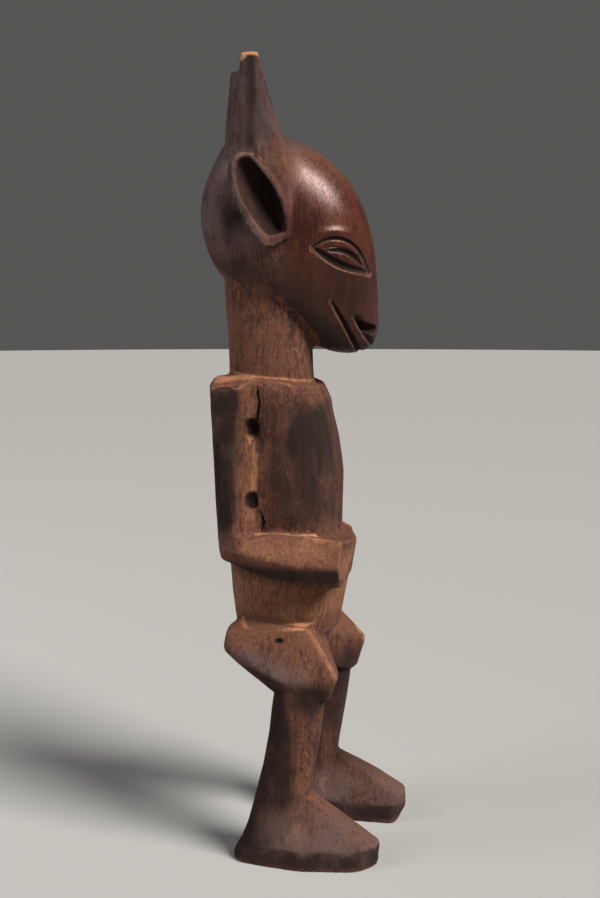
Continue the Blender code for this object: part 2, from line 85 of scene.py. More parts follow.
# Along the head's long axis from the crown to the snout: the lower edge, the upper edge and the half width.
HEAD_SECTIONS = [
    (-64.2, 3.0, 6.5, 1.0),
    (-63.2, 0.8, 9.5, 8.0),
    (-61.0, -6.5, 13.5, 13.5),
    (-58.2, -13.6, 17.5, 18.0),
    (-53.2, -22.8, 22.8, 22.8),
    (-46.2, -30.8, 27.8, 26.5),
    (-37.9, -36.8, 32.0, 29.0),
    (-29.1, -41.0, 34.4, 30.6),
    (-18.5, -43.4, 35.7, 31.2),
    (-7.3, -43.6, 35.4, 31.0),
    (3.0, -42.6, 33.0, 30.0),
    (14.0, -41.0, 28.4, 27.5),
    (25.0, -39.3, 21.5, 24.0),
    (37.0, -35.6, 11.7, 19.0),
    (45.0, -31.6, 4.6, 15.0),
    (51.5, -27.1, -1.5, 11.5),
    (56.0, -22.4, -5.8, 8.5),
    (58.6, -17.7, -10.3, 5.0),
    (59.4, -15.5, -13.0, 1.0),
]

# Lines on the side of the head, as (forward, up).
BROW_LINE = [(21.6, 304.4), (27.7, 308.0), (35.0, 308.7), (40.8, 306.5), (46.2, 300.9), (50.2, 292.3)]
LID_LINE = [(25.0, 303.8), (31.0, 304.6), (38.5, 303.6), (44.0, 299.6), (48.6, 293.6)]
SLIT_LINE = [(29.0, 302.8), (35.5, 303.0), (41.5, 300.6), (47.0, 295.2)]
UNDER_EYE_LINE = [(22.4, 303.9), (27.7, 300.4), (33.0, 297.2), (40.0, 294.6), (48.8, 292.9)]
MOUTH_LINE = [(31.4, 278.2), (34.4, 273.0), (37.8, 267.0), (41.1, 260.9), (44.4, 255.0), (46.8, 251.4)]
LIP_LINE = [(43.4, 268.2), (46.2, 263.2), (48.8, 259.2), (51.4, 256.0), (53.0, 253.0)]

# The right ear's middle and the way it points, as (forward, up), then half the length and width of the ear and
# of its opening. The left ear mirrors it.
EAR_CENTRE = (-3.5, 328.0)
EAR_AXIS = (0.375, -0.927)
EAR_HALVES = (27.0, 13.5)
OPENING_HALVES = (21.5, 9.4)
EAR_DEEPER = 3.0

# Where the head ends and the neck starts, as (forward, up).
JAW_CREASE = [(-24.0, 291.0), (0.0, 285.0), (14.0, 274.0), (24.0, 262.0), (34.0, 246.0)]

# Lines along the body where the wood is bare, as (forward, up).
NECK_BASE = [(-35.7, 244.3), (-23.8, 242.6), (-14.4, 241.4), (-2.6, 240.6), (4.0, 239.4), (8.2, 238.8)]
SHOULDER_EDGE = [
    (-34.5, 236.8), (-27.3, 238.1), (-21.9, 236.6), (-16.2, 239.9), (-10.7, 241.8), (-1.7, 239.0),
    (8.2, 236.3), (13.4, 234.7),
]
FOREARM_TOP = [(-21.2, 162.3), (-13.5, 165.1), (-1.3, 164.8), (13.7, 164.5), (28.4, 163.6)]
HIP_TOP = [(-22.7, 120.7), (-16.2, 118.3), (-6.0, 117.5), (3.9, 118.9), (15.0, 120.1)]
# Each with its half width, its strength, and how far out from the middle it starts and ends.
BARE_LINES = [
    (NECK_BASE, 0.75, 1.0, 0, 29),
    (SHOULDER_EDGE, 0.6, 0.8, 27, 50),
    (FOREARM_TOP, 0.9, 0.95, 26, 37),
    (HIP_TOP, 1.1, 1.1, 24, 39),
]

# The thigh's front edge, and the shoulders' top, as (forward, up).
THIGH_RIDGE = [(13.0, 119.0), (28.2, 95.5)]
SHOULDER_TOP = [(-35, 238), (-16, 240), (-10, 241.5), (0, 239), (14, 235)]

# The pits beside the right arm and the left one, as (forward, up). Their hollows all lie in one line.
PITS = {-1: [(-15.6, 217.0), (-15.9, 181.0)], 1: [(-15.4, 215.0), (-15.4, 183.0)]}
PIT_LINE = -15.6

# Lines on the right flank, as (forward, up).
CRACKS = [
    [(-12.6, 238.0), (-12.9, 234.0), (-11.9, 229.0), (-12.9, 223.4), (-13.2, 219.4), (-12.3, 212.0)],
    [(-12.6, 207.0), (-11.7, 200.0), (-12.6, 193.0), (-12.0, 188.0)],
    [(-11.2, 177.0), (-9.8, 171.0), (-10.6, 166.0)],
]

# Where the lamps and the camera stand and what they look at, in metres.
KEY_PLACE = (-0.40, -1.00, 1.24)
CAMERA_LAMP_PLACE = (-1.20, -0.30, 0.80)
BACK_LAMP_PLACE = (-0.75, 1.20, 0.80)
LAMP_SIZE = 0.80
CHEST = (0.0, 0.0, 0.24)
CAMERA_PLACE = (-0.61552, -0.15347 + BOX_MIDDLE[1] * PART, 0.28139)
CAMERA_TARGET = (0.0, BOX_MIDDLE[1] * PART, 0.2035)


def smoothstep(low, high, value):
    """0 up to low, 1 from high, and a smooth rise between them."""
    t = np.clip((value - low) / (high - low), 0.0, 1.0)
    return t * t * (3 - 2 * t)


def window(value, start, full, wane, end):
    """1 from full to wane, with a smooth rise from the start and a smooth fall to the end."""
    return smoothstep(start, full, value) * (1 - smoothstep(wane, end, value))


def bump(distance, reach):
    """1 at no distance, falling smoothly to almost nothing at twice that reach."""
    return np.exp(-((distance / reach) ** 2))


def blot(points, centre, reach):
    """A soft oval patch round a place."""
    return np.exp(-np.sum(((points - np.array(centre)) / np.array(reach)) ** 2, axis=1))


def random_corners(cells, seed):
    """A random value from 0 to 1 for each whole-numbered cell, always the same one."""
    mixed = cells[:, 0] * 73856093 ^ cells[:, 1] * 19349663 ^ cells[:, 2] * 83492791 ^ seed * 40503
    mixed = (mixed ^ (mixed >> 13)) * 1274126177 & 0x7FFFFFFF
    mixed = (mixed ^ (mixed >> 15)) * 2246822519 & 0x7FFFFFFF
    return (mixed >> 8 & 0xFFFF) / 65535.0


def rough(points, cell, seed):
    """Smooth random values from -1 to 1, whose waves are about as long as the cell."""
    scaled = points / np.array(cell)
    corner = np.floor(scaled).astype(np.int64)
    t = scaled - corner
    t = t * t * (3 - 2 * t)
    total = np.zeros(len(points))
    for step in range(8):
        offset = np.array([step & 1, step >> 1 & 1, step >> 2])
        total += np.prod(np.where(offset, t, 1 - t), axis=1) * random_corners(corner + offset, seed)
    return total * 2 - 1


def rougher(points, cell, seed):
    """The same in three sizes of wave, for an uneven, natural edge."""
    cell = np.array(cell)
    sizes = (1.0, 0.5, 0.25)
    return sum(rough(points, cell * size, seed + k) * size for k, size in enumerate(sizes)) / sum(sizes)


def adze_marks(points, cell, seed):
    """1 in the middle of each shallow tool mark and 0 on the low ridges where the marks meet."""
    scaled = points / np.array(cell)
    corner = np.floor(scaled).astype(np.int64)
    nearest = np.full(len(points), 9.0)
    for step in range(27):
        neighbour = corner + np.array([step % 3 - 1, step // 3 % 3 - 1, step // 9 - 1])
        middle = np.stack([random_corners(neighbour, seed + k) for k in range(3)], axis=1)
        nearest = np.minimum(nearest, np.sum((neighbour + middle - scaled) ** 2, axis=1))
    return 1 - np.clip(nearest, 0, 1)


def curve_through(rows, count):
    """A smooth curve through a table's rows, as that many rows. Their first column says where each is."""
    rows = np.array(rows, float)
    where = np.linspace(rows[0, 0], rows[-1, 0], count)
    slopes = np.gradient(rows, rows[:, 0], axis=0)
    k = np.clip(np.searchsorted(rows[:, 0], where, side="right") - 1, 0, len(rows) - 2)
    span = (rows[k + 1, 0] - rows[k, 0])[:, None]
    t = (where[:, None] - rows[k, :1]) / span
    made = (
        (2 * t**3 - 3 * t**2 + 1) * rows[k]
        + (t**3 - 2 * t**2 + t) * span * slopes[k]
        + (3 * t**2 - 2 * t**3) * rows[k + 1]
        + (t**3 - t**2) * span * slopes[k + 1]
    )
    made[:, 0] = where
    return made


def smooth_line(points, count=24):
    """Points along the smooth curve through those (forward, up) points."""
    return curve_through([(float(i), *point) for i, point in enumerate(points)], count)[:, 1:]


def from_line(places, line):
    """How far each place is from a line, how far along it as a share, and on which side of it."""
    distance = np.full(len(places), 1e9)
    along = np.zeros(len(places))
    above = np.zeros(len(places))
    count = len(line) - 1
    for k, (start, end) in enumerate(zip(line, line[1:])):
        run = end - start
        share = np.clip(((places - start) @ run) / (run @ run), 0, 1)
        off = places - start - share[:, None] * run
        length = np.hypot(off[:, 0], off[:, 1])
        closer = length < distance
        distance = np.where(closer, length, distance)
        along = np.where(closer, (k + share) / count, along)
        above = np.where(closer, np.sign(run[0] * off[:, 1] - run[1] * off[:, 0]), above)
    return distance, along, above


def gouge(places, line, half_width, depth, ends=0.35, open_end=False):
    """The depth of a round-bottomed cut along a line, which narrows to its two ends, or only to the first."""
    distance, along, above = from_line(places, line)
    full = np.sin(np.pi * along) if not open_end else np.sin(np.pi / 2 * np.minimum(along * 1.6, 1))
    width = half_width * (ends + (1 - ends) * full**0.6)
    return depth * width / half_width * np.clip(1 - (distance / width) ** 2, 0, 1) ** 1.1, distance, above


class Skin:
    """The figure's surface while it is carved: its points in parts of the height, and how they are joined."""

    def __init__(self, mesh):
        self.mesh = mesh
        flat = np.empty(len(mesh.vertices) * 3)
        mesh.vertices.foreach_get("co", flat)
        metres = flat.reshape(-1, 3)
        x, y, z = metres.T / PART
        self.points = np.stack([x + BOX_MIDDLE[0], BOX_MIDDLE[1] - y, z], axis=1)
        edges = np.empty(len(mesh.edges) * 2, np.int32)
        mesh.edges.foreach_get("vertices", edges)
        self.edges = edges.reshape(-1, 2)
        self.joined = np.maximum(np.bincount(self.edges.ravel(), minlength=len(metres)), 1)
        mesh.calc_loop_triangles()
        triangles = np.empty(len(mesh.loop_triangles) * 3, np.int32)
        mesh.loop_triangles.foreach_get("vertices", triangles)
        self.triangles = triangles.reshape(-1, 3)

    def average(self, values):
        """The mean of each point's neighbours."""
        first, second = self.edges.T
        count = len(self.points)
        sums = [
            np.bincount(first, column[second], count) + np.bincount(second, column[first], count)
            for column in values.reshape(count, -1).T
        ]
        return (np.stack(sums, axis=1) / self.joined[:, None]).reshape(values.shape)

    def outward(self):
        """The direction straight out of the wood at each point."""
        a, b, c = (self.points[self.triangles[:, k]] for k in range(3))
        # The layout's forward axis runs against the frame's, so the order of the corners turns round.
        face = np.cross(c - a, b - a)
        total = np.zeros_like(self.points)
        for k in range(3):
            for axis in range(3):
                total[:, axis] += np.bincount(self.triangles[:, k], face[:, axis], len(total))
        return total / np.maximum(np.linalg.norm(total, axis=1, keepdims=True), 1e-12)

    def smooth(self, amount, passes):
        """Draws each point towards its neighbours."""
        amount = np.broadcast_to(amount, len(self.points))[:, None]
        for _ in range(passes):
            self.points += (self.average(self.points) - self.points) * amount

    def cut(self, depth):
        """Takes that depth of wood off, straight in."""
        self.points -= self.outward() * depth[:, None]

    def hollow(self, passes):
        """How far each point lies below the surface round it: above 0 in a crease, below 0 on an edge."""
        mean = self.points
        for _ in range(passes):
            mean = mean + (self.average(mean) - mean) * 0.7
        return np.sum((mean - self.points) * self.outward(), axis=1)

    def write(self):
        """Puts the points back into the mesh."""
        side, forward, up = self.points.T
        metres = np.stack([side - BOX_MIDDLE[0], BOX_MIDDLE[1] - forward, up], axis=1) * PART
        self.mesh.vertices.foreach_set("co", metres.ravel())
        self.mesh.update()

    def note(self, name, values):
        """Keeps a value for each point, for the material to read."""
        layer = self.mesh.attributes.new(name, "FLOAT", "POINT")
        layer.data.foreach_set("value", np.clip(values, 0, 1).astype(np.float32))


def to_head(points):
    """Points in the head's own layout: across from its middle, forward of the axis it turns on, and up."""
    side, forward = points[:, 0], points[:, 1] - NECK_FORWARD
    across = side * math.cos(HEAD_TURN) - forward * math.sin(HEAD_TURN)
    ahead = forward * math.cos(HEAD_TURN) + side * math.sin(HEAD_TURN)
    return np.stack([across, ahead, points[:, 2]], axis=1)


def from_head(points):
    """Points of the head's layout, back in the figure's."""
    across, ahead = points[:, 0], points[:, 1]
    side = across * math.cos(HEAD_TURN) + ahead * math.sin(HEAD_TURN)
    forward = ahead * math.cos(HEAD_TURN) - across * math.sin(HEAD_TURN)
    return np.stack([side, forward + NECK_FORWARD, points[:, 2]], axis=1)


def along_ear(head, shift=0.0):
    """How far each place is down an ear's length and across its width, from its middle."""
    out, rise = head[:, 1] - EAR_CENTRE[0] + shift, head[:, 2] - EAR_CENTRE[1]
    return out * EAR_AXIS[0] + rise * EAR_AXIS[1], out * EAR_AXIS[1] - rise * EAR_AXIS[0]


def ear_reach(head):
    """How near each place is to the middle of an ear, in ear lengths and widths: below 1 on the ear."""
    down, over = along_ear(head)
    return np.hypot(down / EAR_HALVES[0], over / EAR_HALVES[1])


def in_ear(head):
    """1 inside the hollow of an ear, by how far it lies below the plane of the ear's rim."""
    back_to_front = np.clip((head[:, 1] + 17.0 + (head[:, 2] - 349.0) * 0.25) / 20.0, 0, 1)
    rim = 35.5 - 4.0 * back_to_front
    down, over = along_ear(head, shift=0.6)
    opening = 1 - smoothstep(0.85, 1.08, np.hypot(down / OPENING_HALVES[0], over / OPENING_HALVES[1]))
    return smoothstep(0.8, 3.2, rim - np.abs(head[:, 0])) * opening


def beside_head(head):
    """1 on the two sides of the head, and 0 down its middle."""
    return smoothstep(2.0, 5.0, np.abs(head[:, 0]))


def is_head(head):
    """1 on the head, above the neck and the jaw's crease."""
    return smoothstep(-1.0, 1.5, head[:, 2] - np.interp(head[:, 1], *zip(*JAW_CREASE)))


def welded_copy(name):
    """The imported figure's own surface as a new mesh, with its points joined."""
    bm = bmesh.new()
    bm.from_mesh(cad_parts[SOLID].data)
    bmesh.ops.remove_doubles(bm, verts=bm.verts, dist=PART * 0.001)
    mesh = bpy.data.meshes.new(name)
    for layer in list(bm.loops.layers.uv.values()):
        bm.loops.layers.uv.remove(layer)
    bm.to_mesh(mesh)
    bm.free()
    return mesh


def settle(piece, kind, **settings):
    """Puts one of Blender's modifiers on a piece and keeps its result as the mesh."""
    modifier = piece.modifiers.new(kind.lower(), kind)
    for name, value in settings.items():
        setattr(modifier, name, value)
    bpy.context.view_layer.update()
    made = bpy.data.meshes.new_from_object(piece.evaluated_get(bpy.context.evaluated_depsgraph_get()))
    piece.modifiers.clear()
    old = piece.data
    piece.data = made
    bpy.data.meshes.remove(old)
    return made


def wants_detail(points):
    """Where the carving is fine enough to need a closer mesh."""
    head = to_head(points)
    side, forward, up = points.T
    across, ahead, _ = head.T
    eye = (ahead > 18) & (ahead < 54) & (up > 288) & (up < 313) & (np.abs(across) > 5)
    mouth = (ahead > 28) & (ahead < 58) & (up > 247) & (up < 281)
    ear = (ear_reach(head) < 1.12) & (np.abs(across) > 18)
    groove = (np.abs(side) > 30) & (forward > -24) & (forward < -8) & (up > 163) & (up < 241)
    slot = (side < -38) & (np.hypot(forward + 0.5, up - 113.8) < 5)
    tips = up > 390
    return eye | mouth | ear | groove | slot | tips


def refine(mesh):
    """Halves the mesh's faces where the carving is fine, and leaves only triangles."""
    bm = bmesh.new()
    bm.from_mesh(mesh)
    bm.verts.ensure_lookup_table()
    wanted = wants_detail(Skin(mesh).points)
    edges = [edge for edge in bm.edges if wanted[edge.verts[0].index] and wanted[edge.verts[1].index]]
    bmesh.ops.subdivide_edges(bm, edges=edges, cuts=1, use_grid_fill=True)
    bmesh.ops.triangulate(bm, faces=bm.faces)
    bm.to_mesh(mesh)
    bm.free()


def ease_edges(skin, sizes):
    """Takes the machine-sharp edges off, less on the horns, ears and snout than on the body."""
    head = to_head(skin.points)
    _, ahead, up = head.T
    ears = 0.8 * bump(ear_reach(head), 1.0) * is_head(head)
    horns = 0.9 * smoothstep(352, 362, up)
    snout = 0.7 * ((ahead > 40) & (up > 258) & (up < 272))
    legs = 0.8 * (1 - smoothstep(118, 130, up))
    crisp = np.maximum.reduce([ears, horns, snout, legs])
    skin.smooth(0.5, 2)
    skin.smooth(0.6 * (1 - crisp), max(1, round(sizes.edge_wear / (EDGE_PASS * PART))))


def round_head(skin):
    """Brings the head's facets out to one smooth egg, and fills the gouges that are cut again finer."""
    head = to_head(skin.points)
    across, ahead, up = head.T
    out, rise = ahead - HEAD_CENTRE[0], up - HEAD_CENTRE[1]
    along = out * math.cos(HEAD_DIP) - rise * math.sin(HEAD_DIP)
    height = out * math.sin(HEAD_DIP) + rise * math.cos(HEAD_DIP)
    where, low, high, half = curve_through(HEAD_SECTIONS, 500).T
    low, high, half = (np.interp(along, where, column) for column in (low, high, half))
    middle, reach = (low + high) / 2, (high - low) / 2
    share = np.abs(across / half) ** HEAD_FULLNESS + np.abs((height - middle) / reach) ** HEAD_FULLNESS
    share = np.maximum(share ** (1 / HEAD_FULLNESS), 0.2)
    gap = np.hypot(across, height - middle) * (1 - 1 / share)
    near = window(gap, -3.6, -2.4, 0.5, 1.1) * window(along, -60, -56, 53, 57)
    near *= smoothstep(1.0, 1.12, ear_reach(head)) * is_head(head)
    nostril = smoothstep(40.5, 43.0, ahead) * bump(up - 265.0, 4.5) * smoothstep(3.0, 5.0, np.abs(across))
    near *= 1 - np.clip(nostril * 1.6, 0, 1)
    drawn = 1 + near * (1 / share - 1)
    across, height = across * drawn, middle + (height - middle) * drawn
    ahead = HEAD_CENTRE[0] + along * math.cos(HEAD_DIP) + height * math.sin(HEAD_DIP)
    up = HEAD_CENTRE[1] + height * math.cos(HEAD_DIP) - along * math.sin(HEAD_DIP)
    skin.points = from_head(np.stack([across, ahead, up], axis=1))


def carve_face(skin, sizes):
    """Cuts the eyes and the mouth, and returns how much each point lies in a cut and on a worn rim, which also
    gets a painted highlight.
    """
    head = to_head(skin.points)
    places = head[:, 1:]
    sides = beside_head(head) * is_head(head)
    brow, brow_away, brow_above = gouge(
        places, smooth_line(BROW_LINE), half_width=0.95, depth=sizes.brow_depth / PART, ends=0.55
    )
    lid, _, _ = gouge(places, smooth_line(LID_LINE), half_width=0.6, depth=0.35)
    slit, _, _ = gouge(
        places, smooth_line(SLIT_LINE), half_width=1.5, depth=sizes.slit_depth / PART, ends=0.15
    )
    under, under_away, under_above = gouge(
        places, smooth_line(UNDER_EYE_LINE), half_width=2.1, depth=sizes.under_eye_depth / PART, ends=0.4
    )
    mouth, mouth_away, mouth_above = gouge(
        places, smooth_line(MOUTH_LINE), half_width=1.5, depth=sizes.mouth_depth / PART, ends=0.3,
        open_end=True,
    )
    lip_away, lip_along, lip_above = from_line(places, smooth_line(LIP_LINE))
    nostril = smoothstep(-0.3, 0.5, lip_away * np.where(lip_above > 0, 1, -1)) * bump(lip_away - 0.6, 2.6)
    nostril *= 1 - smoothstep(0.55, 1.0, lip_along)

    eye_rim = bump(under_away - 2.2, 0.6) * (under_above < 0)
    brow_rim = 0.6 * bump(brow_away - 1.6, 0.8) * (brow_above < 0)
    mouth_rim = bump(mouth_away - 1.6, 0.7) * (mouth_above < 0)
    lip_rim = bump(lip_away - 0.5, 0.6) * (lip_above < 0) * (lip_along < 0.9)
    rims = np.clip(eye_rim + brow_rim + mouth_rim + lip_rim, 0, 1)
    swell = bump(brow_away - 3.2, 2.0) * (brow_above > 0) * bump(places[:, 0] - 32.0, 13.0)
    depth = np.maximum.reduce([brow, lid, slit, under]) + mouth + 1.3 * nostril
    skin.cut(sides * (depth - 0.1 * rims - 0.8 * swell))
    return sides * np.clip((depth - 0.15) / 0.7, 0, 1), sides * rims


def roughen_groove(skin):
    """Wears the hollow beside each arm soft and uneven, along the grain."""
    side, forward, up = skin.points.T
    beside = smoothstep(28, 31, np.abs(side)) * bump(forward + 17.0, 7.5) * window(up, 160, 168, 232, 242)
    pits = np.maximum.reduce([bump(np.hypot(forward - PIT_LINE, up - pit_up), 7.0) for _, pit_up in PITS[-1]])
    skin.smooth(0.7 * beside * (1 - pits), 50)
    uneven = rougher(skin.points, (3.4, 3.4, 22.0), 51) + 0.6 * rougher(skin.points, (2.2, 2.2, 6.0), 52)
    skin.cut(beside * (0.35 * uneven + 0.25))


def in_pits(points):
    """1 inside the pits beside the arms."""
    side, forward, up = points.T
    ragged = 0.25 * rougher(points, (2.0, 2.0, 2.4), 12)
    there = np.zeros(len(side))
    for sign, pits in PITS.items():
        for _, pit_up in pits:
            away = np.hypot((forward - PIT_LINE) / 3.2, (up - pit_up - 0.8) / 4.4) + ragged
            there = np.maximum(there, (1 - smoothstep(0.65, 1.2, away)) * smoothstep(28, 30, side * sign))
    return there


def near_chip(forward, up):
    """1 in the small slanting chip at the front of the neck."""
    return bump(np.hypot((forward - 0.8) / 2.4, up - 255.6 + 0.6 * forward), 0.8)


def carve_body(skin, sizes):
    """Cuts the cracks, the ragged pits and the small hole, and returns how much each point lies in a cut."""
    side, forward, up = skin.points.T
    places = np.stack([forward + rough(skin.points, (9, 9, 3.0), 5) * 0.7, up], axis=1)
    flank = window(-side, 29, 31, 42, 45)
    broken = rough(skin.points, (30.0, 30.0, 8.0), 6)
    depth = np.zeros(len(side))
    lips = np.zeros(len(side))
    for line in CRACKS:
        crack, _, _ = gouge(places, np.array(line), half_width=0.42, depth=sizes.crack_depth / PART, ends=0.3)
        depth = np.maximum(depth, crack * flank * smoothstep(-0.35, 0.25, broken))
    ragged = rougher(skin.points, (2.6, 2.6, 3.2), 11)
    for sign, pits in PITS.items():
        on_side = smoothstep(28, 30, side * sign)
        for pit_forward, pit_up in pits:
            ahead, above = forward - pit_forward, up - pit_up
            depth += on_side * ragged * bump(np.hypot(ahead / 0.8, above / 1.3), 3.6)
            lips += on_side * 1.1 * bump(np.hypot(ahead / 1.3, above + 5.4), 2.0)
    slot = bump(np.hypot((forward + 0.5) / 2.2, up - 113.7), 0.85) * smoothstep(38, 40, -side)
    depth += 1.6 * slot + 0.4 * near_chip(forward, up) * smoothstep(10, 13, -side)
    skin.cut(depth + lips)
    return np.clip(depth, 0, 1)


def deepen_ears(skin):
    """Scoops the ears' hollows out further."""
    head = to_head(skin.points)
    skin.cut(EAR_DEEPER * in_ear(head) * smoothstep(0.0, 1.0, 1.05 - ear_reach(head)) * is_head(head))


def carve_horns(skin):
    """Runs each horn smoothly into its temple, cuts the drying lines up it and breaks its tip."""
    head = to_head(skin.points)
    across, ahead, up = head.T
    joint = bump(ahead + 2.5, 6.0) * window(up, 334, 342, 378, 386) * smoothstep(10, 14, np.abs(across))
    skin.smooth(0.7 * joint * smoothstep(0.95, 1.1, ear_reach(head)), 40)
    head = to_head(skin.points)
    up = head[:, 2]
    on_horns = smoothstep(362, 370, up)
    line = np.abs(rough(head, (5.0, 5.0, 120.0), 21) + 0.10 * rough(head, (2.0, 2.0, 14.0), 22))
    lines = bump(line, 0.06) * on_horns
    tips = smoothstep(386, 397, up + 3 * rough(head, (4, 4, 4), 23))
    tips *= np.clip(rougher(head, (2.6, 2.6, 4.5), 24), 0, 1)
    skin.cut(lines * 0.03 + tips * 1.2)
    return lines


def tool_marks(skin, sizes):
    """Leaves the adze's shallow facets and the raised grain all over, least on the polished head."""
    points = skin.points
    head = to_head(points)
    plain = 1 - 0.75 * is_head(head) * smoothstep(-18, 4, head[:, 1])
    marks = adze_marks(points + rough(points, (14, 14, 22), 31)[:, None] * 2.5, (9.5, 9.5, 15.0), 32)
    swell = rough(points, (24.0, 24.0, 34.0), 33)
    grain = rougher(points, (2.6, 2.6, 34.0), 34)
    resting = smoothstep(1.0, 4.0, points[:, 2])
    depth = marks * sizes.tool_depth / PART + (swell + 1) * 0.12 + (grain + 1) * sizes.grain_depth / PART
    skin.cut(depth * plain * resting)


def mirrored(points, centre, reach, left=0.85):
    """A patch on the right of the figure, with a fainter one to match it on the left."""
    across, forward, up = centre
    return np.maximum(blot(points, centre, reach), left * blot(points, (-across, forward, up), reach))


class Places:
    """Where each point of the carved skin lies, and how hollow, uneven and exposed the wood is there.

    The functions that use it give the ends of each patch of wear in parts of the figure's height.
    """

    def __init__(self, skin):
        points = skin.points
        self.points = points
        self.side, self.forward, self.up = points.T
        self.outer = np.abs(self.side)
        self.head = to_head(points)
        self.across, self.ahead, _ = self.head.T
        self.on_head = is_head(self.head)
        self.body = 1 - self.on_head
        self.facing_up = skin.outward()[:, 2]
        self.broad, self.fine = skin.hollow(14), skin.hollow(4)
        self.crease = smoothstep(0.15, 0.9, self.broad)
        self.edge = smoothstep(0.12, 0.7, -self.broad)
        self.uneven = 0.5 + 0.5 * rougher(points, (7.0, 7.0, 11.0), 41)
        self.streaky = 0.5 + 0.5 * rougher(points, (2.6, 2.6, 20.0), 42)
        self.speckled = 0.5 + 0.5 * rougher(points, (4.0, 4.0, 4.0), 47)
        self.pits = in_pits(points)
        self.ear_hollow = in_ear(self.head)
        self.groove = self.in_groove()
        self.thigh_ridge_highlight = self.on_thigh_ridge()
        self.chest_patches = self.in_chest_patches()

    def in_groove(self):
        """1 in the hollow between each arm and the back."""
        ragged = self.forward + 3 * (self.speckled - 0.5)
        across = window(self.outer, 29, 31, 38.0, 40.5) * window(self.up, 163, 170, 236, 241)
        return across * smoothstep(-21.5, -17.5, self.forward) * (1 - smoothstep(-14.2, -10.8, ragged))

    def on_thigh_ridge(self):
        """1 on the worn front edge of each thigh, where a highlight is painted."""
        away, _, _ = from_line(np.stack([self.forward, self.up], axis=1), np.array(THIGH_RIDGE))
        return bump(away, 1.1) * window(self.outer, 30, 33, 40, 43)

    def in_chest_patches(self):
        """Two ragged dark patches on the right flank, and fainter ones on the left."""
        forward, up = self.forward, self.up
        ragged = 2.6 * rougher(self.points, (5.0, 5.0, 14.0), 45)
        upper = smoothstep(1.5, 4.5, forward + ragged)
        upper *= 1 - smoothstep(28.0, 33.0, forward - 5.0 * smoothstep(200, 215, up) + 0.6 * ragged)
        upper *= smoothstep(188.5, 192.5, up - 0.25 * np.maximum(forward - 12, 0) + ragged)
        upper *= 1 - smoothstep(222.0, 233.0, up - 0.3 * (forward - 12) + ragged)
        upper *= 0.45 + 0.3 * bump(up - 217, 14)
        lower = 0.6 * bump(forward - 22.0, 6.5) * bump(up - 176.0, 8.0)
        on_flank = (0.45 + 0.55 * smoothstep(1, 10, self.outer)) * np.where(self.side < 0, 1, 0.5)
        return np.maximum(upper, lower) * on_flank


def bare_along_lines(at):
    """How bare the wood is along the lines that hands never reached."""
    places = np.stack([at.forward, at.up + rough(at.points, (5.0, 5.0, 5.0), 44) * 0.5], axis=1)
    bare = np.zeros(len(at.points))
    for line, width, strength, nearest, farthest in BARE_LINES:
        away, _, _ = from_line(places, smooth_line(line))
        there = window(at.outer, nearest - 1, nearest + 1, farthest - 1, farthest + 1)
        on_line = bump(away, width) * (0.6 + 0.4 * np.maximum(at.crease, at.edge))
        beside = 0.3 * at.crease * bump(away, width * 2.5)
        bare = np.maximum(bare, strength * there * (on_line + beside) * (0.35 + 0.9 * at.speckled))
    return bare


def bare_wood_and_painted_light(at, rims):
    """Bare, lighter wood: beside the arms, in the creases, on the rims and on the broken tips, with painted
    light at the waist and painted highlights on the rims and the thighs' front edges.
    """
    forward, up, uneven = at.forward, at.up, at.uneven
    groove = at.groove * (0.10 + 0.42 * smoothstep(0.3, 0.7, at.streaky) * (0.35 + 0.9 * bump(up - 198, 17)))
    over_shoulder = up - np.interp(forward, *zip(*SHOULDER_TOP))
    shoulders = smoothstep(-0.5, 1.5, over_shoulder) * smoothstep(0.35, 0.75, at.facing_up)
    shoulders *= (up < 250) * at.body
    under_jaw = 0.3 * at.crease * window(up, 236, 262, 286, 300)
    tips = smoothstep(393.5, 397.5, up + 2 * rough(at.points, (3, 3, 3), 43))
    neck_chip = 0.6 * near_chip(forward, up) * (at.side < -9)
    # Painted light at the waist, where the forearms' shadow falls.
    waist = 0.34 * window(up, 119, 124, 140, 150)
    belly = 0.5 * smoothstep(27, 31, forward) * bump(up - 150.0, 12.0)
    forearm = window(up, 145, 150, 163, 167) * smoothstep(28, 33, at.outer)
    forearm *= smoothstep(0.1, 0.6, at.facing_up)
    ear = ear_reach(at.head)
    from_middle = np.abs(at.across)
    ear_rim = bump(ear - 0.82, 0.07) * smoothstep(336, 349, up) * smoothstep(20, 25, from_middle) * at.on_head
    ear_edge = (ear < 1.15) * at.edge * at.on_head * smoothstep(17, 20, from_middle)
    instep = bump(np.hypot(forward - 8.0, (up - 19.0) / 1.6), 8.0)
    shin = bump(up - 40.0, 26.0) * bump(forward - 9.0, 6.0)
    horn_edges = 0.35 * smoothstep(362, 395, up) * at.edge * uneven
    low_creases = 0.45 * at.crease * at.body * (1 - smoothstep(20, 60, up)) * uneven
    bare = np.maximum.reduce([
        bare_along_lines(at), groove, shoulders * (0.25 + 0.55 * at.speckled), under_jaw, tips, neck_chip,
        # Painted highlights on the face's rims, and painted light at the waist.
        0.4 * rims, waist, belly, forearm * (0.12 + 0.4 * uneven), ear_rim * (0.1 + 0.75 * uneven),
        ear_edge * np.maximum(0.75 * smoothstep(336, 348, up), 0.22),
        0.4 * np.maximum(instep, shin) * (0.35 + 0.7 * uneven),
        # A painted highlight along the thighs' front edges.
        at.thigh_ridge_highlight * (0.22 + 0.45 * at.speckled), horn_edges, low_creases,
    ])
    return bare * (1 - at.pits)


